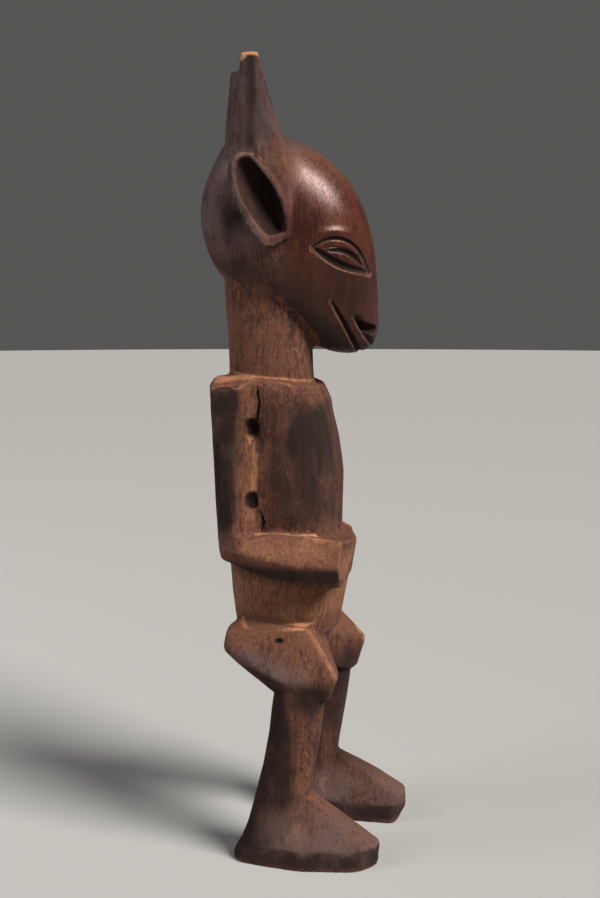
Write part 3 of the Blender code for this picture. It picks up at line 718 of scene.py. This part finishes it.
def soot_and_shade_on_body(at):
    """Black patina down the arms and in patches on the chest, darker below the knees, with painted shade under
    the forearms and thighs, on the flanks, in the pits, on the legs' sides and heels and along the feet's
    lower sides.
    """
    forward, up, uneven, speckled = at.forward, at.up, at.uneven, at.speckled
    frayed = forward + 3.0 * rougher(at.points, (3.0, 3.0, 12.0), 46)
    arm = smoothstep(35.5, 38.5, at.outer) * smoothstep(160, 172, up) * (1 - smoothstep(-23.5, -18.5, frayed))
    # Painted shade under the forearms, on the faces turned down.
    under_forearm_shade = bump(up - 144.0, 7.0) * smoothstep(28, 33, at.outer) * smoothstep(-0.2, 0.5, -at.facing_up)
    # Painted shade on the front of the flanks, darkening the chest's side.
    flank = window(up, 165, 170, 226, 236) * smoothstep(-11, -6, forward) * at.body
    # Painted shade on the thighs' faces turned down.
    thigh_underside_shade = 0.6 * smoothstep(38, 45, at.outer) * bump(up - 96, 9) * smoothstep(0.1, 0.6, -at.facing_up)
    knee = 0.8 * mirrored(at.points, (-42, 16, 85), (15, 13, 9))
    # Painted shade, mottled, on the calves' sides, the left leg's inner side, the heels and along the feet's
    # lower sides.
    calf_shade = window(up, 16, 40, 88, 98) * (1 - smoothstep(1.0, 13.0, forward - 0.1 * (60 - up)))
    left_leg_shade = window(up, 16, 34, 88, 98) * smoothstep(0, 6, at.side)
    heel_shade = 0.75 * bump(forward + 20, 14) * (1 - smoothstep(10, 70, up))
    upright = smoothstep(0.4, 0.8, 1 - np.abs(at.facing_up))
    sole_band_shade = 0.85 * (1 - smoothstep(9.5, 12.0, up + 2 * uneven)) * upright
    return np.maximum.reduce([
        arm * (0.5 * at.streaky + 0.45 * uneven + 0.5 * speckled - 0.2), 1.4 * under_forearm_shade * (forward > -26),
        # The chest's patches are patina; the flanks and the pits get painted shade.
        at.chest_patches * (0.55 + 0.75 * at.streaky), flank * (0.15 + 0.4 * uneven), 1.1 * at.pits,
        thigh_underside_shade, knee * (0.4 + uneven), calf_shade * (0.10 + 0.6 * uneven + 0.55 * speckled),
        left_leg_shade * (0.2 + 0.55 * uneven), heel_shade * (0.4 + 0.8 * uneven + 0.5 * speckled),
        sole_band_shade * (0.2 + 1.1 * uneven),
    ])


def soot_and_shade_on_head(at, horn_lines):
    """Black patina up the horns, on the crown and behind the ears, painted shade in the ears' hollows and
    under the jaw, and darker towards the bottom of the head.
    """
    ahead, up, uneven = at.ahead, at.up, at.uneven
    crown = 0.4 * bump(np.hypot(at.across / 14, (ahead + 2) / 12), 1.0) * smoothstep(335, 345, up)
    horn_front = smoothstep(345, 356, up) * bump(ahead + 9.0 - 0.02 * (up - 350), 3.6)
    horns = smoothstep(345, 360, up) * at.on_head
    shaded_ear_front = smoothstep(-10.0, 0.0, ahead + 0.42 * (up - 328))
    behind = 1.1 * (1 - smoothstep(-16, 2, ahead)) * (uneven - 0.45)
    behind_ear = blot(at.head, (-30.0, -18.0, 320.0), (16.0, 8.0, 14.0)) * (0.1 + 0.8 * uneven)
    below = (1 - smoothstep(292, 312, up)) * (0.10 + 0.45 * uneven)
    # Painted shade under the jaw, on the faces turned down.
    under_jaw = 0.9 * smoothstep(0.1, 0.75, -at.facing_up) * smoothstep(0, 14, ahead)
    return np.maximum.reduce([
        crown, 0.8 * horn_front * (0.3 + 0.9 * at.streaky), horns * (0.1 + 0.4 * at.streaky),
        # Painted shade in the ears' hollows, darkest at the front under the rim.
        0.7 * horn_lines, at.ear_hollow * (0.37 + 0.6 * shaded_ear_front + 0.2 * uneven),
        at.on_head * np.maximum.reduce([behind, behind_ear, below, under_jaw]),
    ])


def grey_bloom_and_sheen(at):
    """A grey, dry bloom and a painted grey sheen on the feet, thighs, horns and the back of the head."""
    up, uneven = at.up, at.uneven
    feet = (1 - smoothstep(14, 40, up)) * (0.35 + 0.8 * at.speckled)
    thighs = smoothstep(42, 45.5, at.outer) * bump(up - 104, 14)
    head_back = at.on_head * (1 - smoothstep(-14, 12, at.ahead))
    head_back *= 0.35 + 0.65 * smoothstep(298, 322, up + 8 * uneven)
    horns = 0.95 * smoothstep(345, 360, up)
    arms = 0.5 * smoothstep(37, 40, at.outer) * bump(up - 200, 45) * (at.forward < -22)
    most = np.maximum.reduce([feet, thighs, head_back, horns, arms, 0.35 * at.chest_patches])
    return most * (0.5 + 0.7 * uneven) * (1 - at.ear_hollow)


def polished(at, deep):
    """Where hands polished the wood: on the face, the thighs' ridges and the body's edges."""
    face = at.on_head * smoothstep(-4, 14, at.ahead - 0.15 * (at.up - 300)) * (1 - deep)
    edges = 0.55 * at.edge * at.body * smoothstep(80, 90, at.up)
    outside = 0.35 * smoothstep(40, 45, at.outer) * at.body
    return np.maximum.reduce([face, 1.2 * at.thigh_ridge_highlight, edges, outside])


def warmth_and_painted_light(at):
    """Where the wood is lighter and browner: on the neck, the forearms and the groove and over the brow, with
    painted light on upward faces and at the waist.
    """
    # Painted light on upward faces and at the waist, under the forearms' shadow.
    total = 0.75 * smoothstep(0.0, 0.9, at.facing_up) + 1.1 * bump(at.up - 130, 15)
    total += 0.35 * bump(at.up - 262, 20) * at.body + 0.4 * at.groove
    total += 0.8 * bump(at.up - 159, 4.5) * smoothstep(30, 36, at.outer)
    return total + 0.7 * at.on_head * smoothstep(325, 350, at.up) * smoothstep(-6, 8, at.ahead)


def wear(skin, face_cuts, rims, body_cuts, horn_lines):
    """Notes at each point how bare, sooted, ashen, polished or worn the wood is, and where light, shade and
    sheen are painted.
    """
    at = Places(skin)
    # Painted shade in the nostrils.
    snout = bump(np.hypot(at.ahead - 51.0, at.up - 263.5), 4.5) * smoothstep(2.5, 4.0, np.abs(at.across))
    snout *= smoothstep(-0.3, 0.2, at.broad) * at.on_head
    # Painted shade in the face's cuts, the body's cracks, pits, hole and chip, and the nostrils.
    deep = np.maximum.reduce([face_cuts, body_cuts * 0.8, snout])
    bare = bare_wood_and_painted_light(at, rims)
    # Black patina, together with painted shade in hollows, cuts and under the parts that cast shade.
    soot_and_shade = np.maximum.reduce([soot_and_shade_on_body(at), soot_and_shade_on_head(at, horn_lines), deep])
    beside_arm = smoothstep(29, 31, at.outer) * bump(at.forward + 15.0, 6.0)
    beside_arm *= smoothstep(160, 168, at.up) * (at.up < 242)
    # Bare wood, with painted light at the waist and painted highlights on the rims and thigh edges.
    skin.note("bare", bare)
    skin.note("soot_and_shade", soot_and_shade)
    skin.note("ash_and_sheen", grey_bloom_and_sheen(at))
    skin.note("polish", polished(at, deep))
    skin.note("red", at.on_head * smoothstep(-4, 16, at.ahead) * (1 - 0.8 * smoothstep(325, 350, at.up)))
    # Creases, where the material paints shade.
    skin.note("crease", smoothstep(0.04, 0.35, at.fine) * (1 - 0.5 * bare) * (1 - 0.8 * beside_arm))
    # Worn edges, and a painted highlight along the thighs' front edges.
    skin.note("edge", smoothstep(0.03, 0.28, -at.fine) + at.thigh_ridge_highlight)
    # Warmer, lighter wood, and painted light on upward faces and at the waist.
    skin.note("warm", warmth_and_painted_light(at))


class WoodTree:
    """The material's node tree, with short ways to add the nodes that it uses."""

    def __init__(self, name):
        self.material = bpy.data.materials.new(name)
        self.material.use_nodes = True
        self.nodes = self.material.node_tree.nodes
        self.links = self.material.node_tree.links
        self.shader = self.nodes["Principled BSDF"]
        self.place = self.add("ShaderNodeTexCoord").outputs["Object"]

    def add(self, kind, **settings):
        """A new node with those settings."""
        node = self.nodes.new(kind)
        for name, value in settings.items():
            setattr(node, name, value)
        return node

    def feed(self, socket, value):
        """Links a socket to another node's output, or sets it to a plain value."""
        if isinstance(value, bpy.types.NodeSocket):
            self.links.new(value, socket)
        else:
            socket.default_value = value

    def noted(self, name):
        """What the carving noted at each point under that name."""
        return self.add("ShaderNodeAttribute", attribute_name=name).outputs["Fac"]

    def grain(self, width, length, detail=3.0, roughness=0.6, warp=0.0, shift=0.0):
        """Random waves that wide across the figure and that long up it, in parts of its height."""
        mapping = self.add("ShaderNodeMapping")
        mapping.inputs["Location"].default_value = (shift, shift, shift)
        mapping.inputs["Scale"].default_value = (1 / (width * PART), 1 / (width * PART), 1 / (length * PART))
        self.links.new(self.place, mapping.inputs["Vector"])
        noise = self.add("ShaderNodeTexNoise")
        settings = {"Scale": 1.0, "Detail": detail, "Roughness": roughness, "Distortion": warp}
        for socket, value in settings.items():
            noise.inputs[socket].default_value = value
        self.links.new(mapping.outputs["Vector"], noise.inputs["Vector"])
        return noise.outputs["Fac"]

    def between(self, value, low, high, lowest=0.0, highest=1.0):
        """Spreads what lies from low to high over lowest to highest."""
        node = self.add("ShaderNodeMapRange", interpolation_type="SMOOTHSTEP")
        for socket, setting in (
            ("Value", value), ("From Min", low), ("From Max", high), ("To Min", lowest), ("To Max", highest)
        ):
            self.feed(node.inputs[socket], setting)
        return node.outputs["Result"]

    def sum_of(self, *values, operation="ADD"):
        """The values added up, or joined by another operation."""
        total = values[0]
        for value in values[1:]:
            node = self.add("ShaderNodeMath", operation=operation)
            self.feed(node.inputs[0], total)
            self.feed(node.inputs[1], value)
            total = node.outputs["Value"]
        return total

    def product_of(self, *values):
        """The values multiplied."""
        return self.sum_of(*values, operation="MULTIPLY")

    def weighted(self, *parts):
        """The values added up, each by its own weight."""
        return self.sum_of(*(self.product_of(value, weight) for value, weight in parts))

    def mix(self, share, first, second):
        """Goes from the first colour to the second by that share."""
        node = self.add("ShaderNodeMix", data_type="RGBA")
        for socket, value in (("Factor", share), ("A", first), ("B", second)):
            self.feed(node.inputs[socket], value)
        return node.outputs["Result"]


def patina(colours):
    """Old dark wood: flecked along the grain, sooted, ashen or bare where the carving says so, with painted
    shade, light, highlights and sheen.
    """
    wood = WoodTree("dark_wood")
    names = ("wood", "brown", "light", "bare", "soot_and_shade", "ash_and_sheen", "face", "lit_face")
    plain = {name: (*getattr(colours, name), 1.0) for name in names}

    fibre = wood.grain(1.0, 7.0, detail=4.0, roughness=0.7)
    streak = wood.grain(3.4, 34.0, detail=3.0, warp=0.4, shift=3.1)
    blotch = wood.grain(13.0, 20.0, detail=5.0, roughness=0.65, shift=7.7)
    speck = wood.grain(1.0, 1.9, detail=3.0, roughness=0.75, shift=1.9)
    fleck = wood.grain(2.2, 4.0, detail=5.0, roughness=0.75, shift=5.3)

    # Plain wood, lighter where the warm mask notes warm wood and painted light.
    mixed = wood.weighted(
        (fibre, 0.24), (streak, 0.20), (blotch, 0.36), (fleck, 0.20), (wood.noted("warm"), 0.09)
    )
    colour = wood.mix(wood.between(mixed, 0.42, 0.58), plain["wood"], plain["brown"])

    flecks = wood.between(wood.weighted((speck, 0.6), (fleck, 0.4)), 0.50, 0.62, 0.0, 0.68)
    flecks = wood.product_of(flecks, wood.between(wood.noted("warm"), 0.0, 1.0, 0.7, 1.0))
    colour = wood.mix(flecks, colour, plain["light"])

    face_tone = wood.sum_of(blotch, wood.product_of(fibre, 0.4), wood.product_of(streak, 0.4))
    face = wood.mix(wood.between(face_tone, 0.70, 1.10), plain["face"], plain["lit_face"])
    colour = wood.mix(wood.product_of(wood.noted("red"), 0.96), colour, face)

    # Dry grey bloom, with a painted grey sheen.
    bloom_and_sheen_break = wood.between(wood.sum_of(fleck, blotch), 0.75, 1.1, 0.18, 1.0)
    colour = wood.mix(wood.product_of(wood.noted("ash_and_sheen"), bloom_and_sheen_break), colour, plain["ash_and_sheen"])

    # Black patina mixed with painted shade, where the carving notes them.
    soot_and_shade_share = wood.sum_of(wood.noted("soot_and_shade"), wood.weighted((fibre, 0.35), (fleck, 0.35)))
    colour = wood.mix(wood.between(soot_and_shade_share, 0.40, 1.0, 0.0, 0.96), colour, plain["soot_and_shade"])

    specks = wood.between(wood.weighted((speck, 0.5), (fibre, 0.5)), 0.46, 0.36, 0.0, 0.8)
    specks = wood.product_of(specks, wood.between(wood.noted("polish"), 0.2, 0.9, 1.0, 0.3))
    colour = wood.mix(specks, colour, plain["soot_and_shade"])
    # Painted shade in the creases.
    colour = wood.mix(wood.product_of(wood.noted("crease"), 0.5), colour, plain["soot_and_shade"])

    # Lighter worn edges, and a painted highlight along the thighs' front edges.
    edge_share = wood.product_of(wood.noted("edge"), wood.between(fleck, 0.35, 0.6, 0.1, 0.6))
    colour = wood.mix(edge_share, colour, plain["light"])

    # Bare wood, with painted light at the waist and painted highlights on the rims and the thighs' front
    # edges.
    bare_and_lit_share = wood.sum_of(wood.noted("bare"), wood.weighted((fleck, 0.40), (fibre, 0.40)))
    bare_and_lit_share = wood.between(bare_and_lit_share, 0.55, 1.25)
    colour = wood.mix(bare_and_lit_share, colour, plain["bare"])
    wood.feed(wood.shader.inputs["Base Color"], colour)

    gloss = wood.between(wood.noted("polish"), 0.0, 1.0, colours.dry_roughness, colours.polished_roughness)
    uneven = wood.between(wood.sum_of(fleck, fibre), 0.7, 1.3, -0.08, 0.10)
    dryness = wood.weighted((bare_and_lit_share, 0.15), (wood.noted("soot_and_shade"), 0.25))
    wood.feed(wood.shader.inputs["Roughness"], wood.sum_of(gloss, uneven, dryness))
    wood.shader.inputs["Specular IOR Level"].default_value = colours.gloss
    wood.shader.inputs["Specular Tint"].default_value = (*colours.gloss_tint, 1.0)

    relief = wood.weighted((fibre, 1.0), (fleck, 0.9), (wood.between(speck, 0.55, 0.8), -0.8))
    rise = wood.add("ShaderNodeBump")
    rise.inputs["Distance"].default_value = colours.relief
    wood.feed(rise.inputs["Strength"], wood.between(wood.noted("polish"), 0.0, 1.0, 1.0, 0.25))
    wood.feed(rise.inputs["Height"], relief)
    wood.feed(wood.shader.inputs["Normal"], rise.outputs["Normal"])
    return wood.material


def make_figure(sizes, colours):
    """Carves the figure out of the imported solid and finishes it."""
    piece = bpy.data.objects.new("carved_figure", welded_copy("carved_figure"))
    bpy.context.scene.collection.objects.link(piece)
    refine(settle(piece, "REMESH", mode="VOXEL", voxel_size=sizes.mesh_size))
    skin = Skin(piece.data)
    ease_edges(skin, sizes)
    round_head(skin)
    skin.smooth(0.3, 1)
    face_cuts, rims = carve_face(skin, sizes)
    roughen_groove(skin)
    body_cuts = carve_body(skin, sizes)
    deepen_ears(skin)
    horn_lines = carve_horns(skin)
    tool_marks(skin, sizes)
    wear(skin, face_cuts, rims, body_cuts, horn_lines)
    skin.write()
    ratio = min(1.0, MOST_TRIANGLES / len(skin.triangles))
    mesh = settle(piece, "DECIMATE", ratio=ratio)
    mesh.name = "carved_figure"
    mesh.polygons.foreach_set("use_smooth", [True] * len(mesh.polygons))
    mesh.materials.clear()
    mesh.materials.append(patina(colours))
    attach(piece, "root")
    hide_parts(SOLID)
    return piece


def aim(thing, target):
    """Turns a lamp or the camera towards a place."""
    thing.rotation_euler = (Vector(target) - thing.location).to_track_quat("-Z", "Y").to_euler()


def lamp(name, place, target, size, power, colour):
    """A square soft lamp."""
    data = bpy.data.lights.new(name, "AREA")
    data.shape = "SQUARE"
    data.size = size
    return hang(name, data, place, target, power, colour)


def far_lamp(name, place, target, spread, power, colour):
    """A large soft lamp so far away that it lights the whole floor evenly."""
    data = bpy.data.lights.new(name, "SUN")
    data.angle = spread
    return hang(name, data, place, target, power, colour)


def hang(name, data, place, target, power, colour):
    """Puts a lamp in its place, aimed at the target."""
    data.energy = power
    data.color = colour
    made = bpy.data.objects.new(name, data)
    bpy.context.scene.collection.objects.link(made)
    made.location = place
    aim(made, target)
    return made


def make_floor(studio):
    """A wide, plain, pale floor."""
    bm = bmesh.new()
    bmesh.ops.create_circle(bm, cap_ends=True, radius=studio.floor_radius, segments=96)
    mesh = bpy.data.meshes.new("floor")
    bm.to_mesh(mesh)
    bm.free()
    floor = bpy.data.objects.new("floor", mesh)
    bpy.context.scene.collection.objects.link(floor)
    paint = bpy.data.materials.new("pale_floor")
    paint.use_nodes = True
    shader = paint.node_tree.nodes["Principled BSDF"]
    shader.inputs["Base Color"].default_value = (*studio.floor_colour, 1.0)
    shader.inputs["Roughness"].default_value = 0.9
    shader.inputs["Specular IOR Level"].default_value = 0.1
    mesh.materials.append(paint)


def make_studio(studio):
    """The floor, the soft light from the upper front, and the camera."""
    scene = bpy.context.scene
    make_floor(studio)
    world = bpy.data.worlds.new("studio")
    scene.world = world
    world.use_nodes = True
    background = world.node_tree.nodes["Background"]
    background.inputs["Color"].default_value = (*studio.backdrop, 1.0)
    background.inputs["Strength"].default_value = studio.surround
    far_lamp("key_light", KEY_PLACE, CHEST, studio.key_spread, studio.key_power, (1.0, 0.97, 0.93))
    lamp("camera_light", CAMERA_LAMP_PLACE, CHEST, LAMP_SIZE, studio.fill_power, (1.0, 0.96, 0.93))
    lamp("back_light", BACK_LAMP_PLACE, CHEST, LAMP_SIZE, studio.back_power, (0.95, 0.97, 1.0))
    camera = bpy.data.objects.new("camera", bpy.data.cameras.new("camera"))
    scene.collection.objects.link(camera)
    camera.data.sensor_width = 36.0
    camera.data.lens = studio.lens
    camera.location = CAMERA_PLACE
    aim(camera, CAMERA_TARGET)
    scene.camera = camera
    scene.view_settings.view_transform = "Standard"


def length_setting(name, description, default):
    """A size that the user can change."""
    return bpy.props.FloatProperty(
        name=name, description=description, default=default, min=0.0, unit="LENGTH", precision=5
    )


def colour_setting(name, description, default):
    """A colour that the user can change."""
    return bpy.props.FloatVectorProperty(
        name=name, description=description, default=default, size=3, min=0.0, max=1.0, subtype="COLOR"
    )


def share_setting(name, description, default):
    """A plain amount from 0 to 1 that the user can change."""
    return bpy.props.FloatProperty(name=name, description=description, default=default, min=0.0, max=1.0)


class AntelopeCarvingSizes(bpy.types.PropertyGroup):
    """How fine and how deep the carving is."""

    mesh_size: length_setting("Mesh size", "Distance between the points that are carved", 0.80 * PART)
    edge_wear: length_setting("Edge wear", "How far the sharp edges are worn round", 0.36 * PART)
    brow_depth: length_setting("Brow depth", "Depth of the cut over an eye", 1.1 * PART)
    slit_depth: length_setting("Eye slit depth", "Depth of the cut between the lids", 1.5 * PART)
    under_eye_depth: length_setting("Under-eye depth", "Depth of the broad cut under an eye", 1.5 * PART)
    mouth_depth: length_setting("Mouth depth", "Depth of the cut of the mouth", 1.5 * PART)
    crack_depth: length_setting("Crack depth", "Depth of the cracks beside the arm", 1.3 * PART)
    tool_depth: length_setting("Tool mark depth", "Depth of the adze's facets", 0.28 * PART)
    grain_depth: length_setting("Grain depth", "Height of the grain that shows in relief", 0.10 * PART)


class AntelopePatina(bpy.types.PropertyGroup):
    """The colours and gloss of the wood."""

    wood: colour_setting("Dark wood", "The darkest of the plain wood", (0.026, 0.012, 0.010))
    brown: colour_setting("Brown wood", "The plain wood", (0.098, 0.039, 0.023))
    # Colour of the flecks and rubbed edges, also used to paint the highlight on the thighs' front edges.
    light: colour_setting("Light flecks", "The flecks and rubbed edges", (0.185, 0.078, 0.042))
    # Colour of bare wood, also used to paint light at the waist and highlights on the rims and thigh edges.
    bare: colour_setting("Bare wood", "Wood without patina, in creases and breaks", (0.34, 0.155, 0.078))
    # Colour of the black patina, also used to paint shade.
    soot_and_shade: colour_setting("Soot", "The black patina", (0.0110, 0.0066, 0.0057))
    # Colour of the dry grey bloom, also used to paint a grey sheen.
    ash_and_sheen: colour_setting("Grey bloom", "The dry grey bloom on the feet and horns", (0.072, 0.053, 0.055))
    face: colour_setting("Face", "The darker red of the polished head", (0.026, 0.007, 0.005))
    lit_face: colour_setting("Rubbed face", "The lighter red of the polished head", (0.066, 0.018, 0.010))
    dry_roughness: share_setting("Dry roughness", "Roughness where the wood is dry", 0.92)
    polished_roughness: share_setting("Polished roughness", "Roughness where hands polished it", 0.29)
    gloss: share_setting("Gloss", "Strength of the shine", 0.29)
    gloss_tint: colour_setting("Gloss tint", "The warm tint of the shine", (1.0, 0.70, 0.66))
    relief: length_setting("Fine relief", "Height of the finest fibres", 0.28 * PART)


class AntelopeStudio(bpy.types.PropertyGroup):
    """The floor, the lights and the camera."""

    key_power: bpy.props.FloatProperty(
        name="Key light", description="Strength of the lamp in front", default=6.4, min=0.0
    )
    key_spread: bpy.props.FloatProperty(
        name="Key light spread", description="How wide the lamp in front looks", default=math.radians(25.0),
        subtype="ANGLE",
    )
    fill_power: bpy.props.FloatProperty(
        name="Camera light", description="Power of the lamp over the camera", default=0.4, min=0.0,
        unit="POWER",
    )
    back_power: bpy.props.FloatProperty(
        name="Back light", description="Power of the lamp behind", default=13.0, min=0.0, unit="POWER"
    )
    surround: share_setting("Surround", "Brightness of the light from all round", 0.115)
    backdrop: colour_setting("Backdrop", "Colour of the surroundings", (0.80, 0.80, 0.79))
    floor_colour: colour_setting("Floor", "Colour of the floor", (0.33, 0.325, 0.315))
    floor_radius: length_setting("Floor radius", "How far the floor reaches", 6.0)
    lens: bpy.props.FloatProperty(
        name="Lens", description="Focal length in millimetres", default=50.11, min=1.0, subtype="NONE"
    )


class ANTELOPE_OT_carve_figure(bpy.types.Operator):
    """Carves the figure's surface and gives it its patina, with painted light and shade"""

    bl_idname = "antelope.carve_figure"
    bl_label = "Carve the figure"

    def execute(self, context):
        make_figure(context.scene.antelope_sizes, context.scene.antelope_patina)
        return {"FINISHED"}


class ANTELOPE_OT_set_studio(bpy.types.Operator):
    """Lays the floor and sets up the lights and the camera"""

    bl_idname = "antelope.set_studio"
    bl_label = "Set up the studio"

    def execute(self, context):
        make_studio(context.scene.antelope_studio)
        return {"FINISHED"}


class ANTELOPE_PT_panel(bpy.types.Panel):
    """Lists the sizes, the colours and the steps."""

    bl_idname = "ANTELOPE_PT_panel"
    bl_label = "Antelope figure"
    bl_space_type = "VIEW_3D"
    bl_region_type = "UI"
    bl_category = "Antelope figure"

    def draw(self, context):
        for group, operator in (
            (context.scene.antelope_sizes, None),
            (context.scene.antelope_patina, ANTELOPE_OT_carve_figure.bl_idname),
            (context.scene.antelope_studio, ANTELOPE_OT_set_studio.bl_idname),
        ):
            box = self.layout.box()
            for name in group.__annotations__:
                box.prop(group, name)
            if operator:
                box.operator(operator)


CLASSES = (
    AntelopeCarvingSizes,
    AntelopePatina,
    AntelopeStudio,
    ANTELOPE_OT_carve_figure,
    ANTELOPE_OT_set_studio,
    ANTELOPE_PT_panel,
)


def register():
    for kind in CLASSES:
        bpy.utils.register_class(kind)
    bpy.types.Scene.antelope_sizes = bpy.props.PointerProperty(type=AntelopeCarvingSizes)
    bpy.types.Scene.antelope_patina = bpy.props.PointerProperty(type=AntelopePatina)
    bpy.types.Scene.antelope_studio = bpy.props.PointerProperty(type=AntelopeStudio)


def unregister():
    del bpy.types.Scene.antelope_studio
    del bpy.types.Scene.antelope_patina
    del bpy.types.Scene.antelope_sizes
    for kind in reversed(CLASSES):
        bpy.utils.unregister_class(kind)


def main():
    """Sets the stage and carves the figure."""
    register()
    bpy.ops.antelope.set_studio()
    bpy.ops.antelope.carve_figure()


if __name__ == "__main__":
    main()
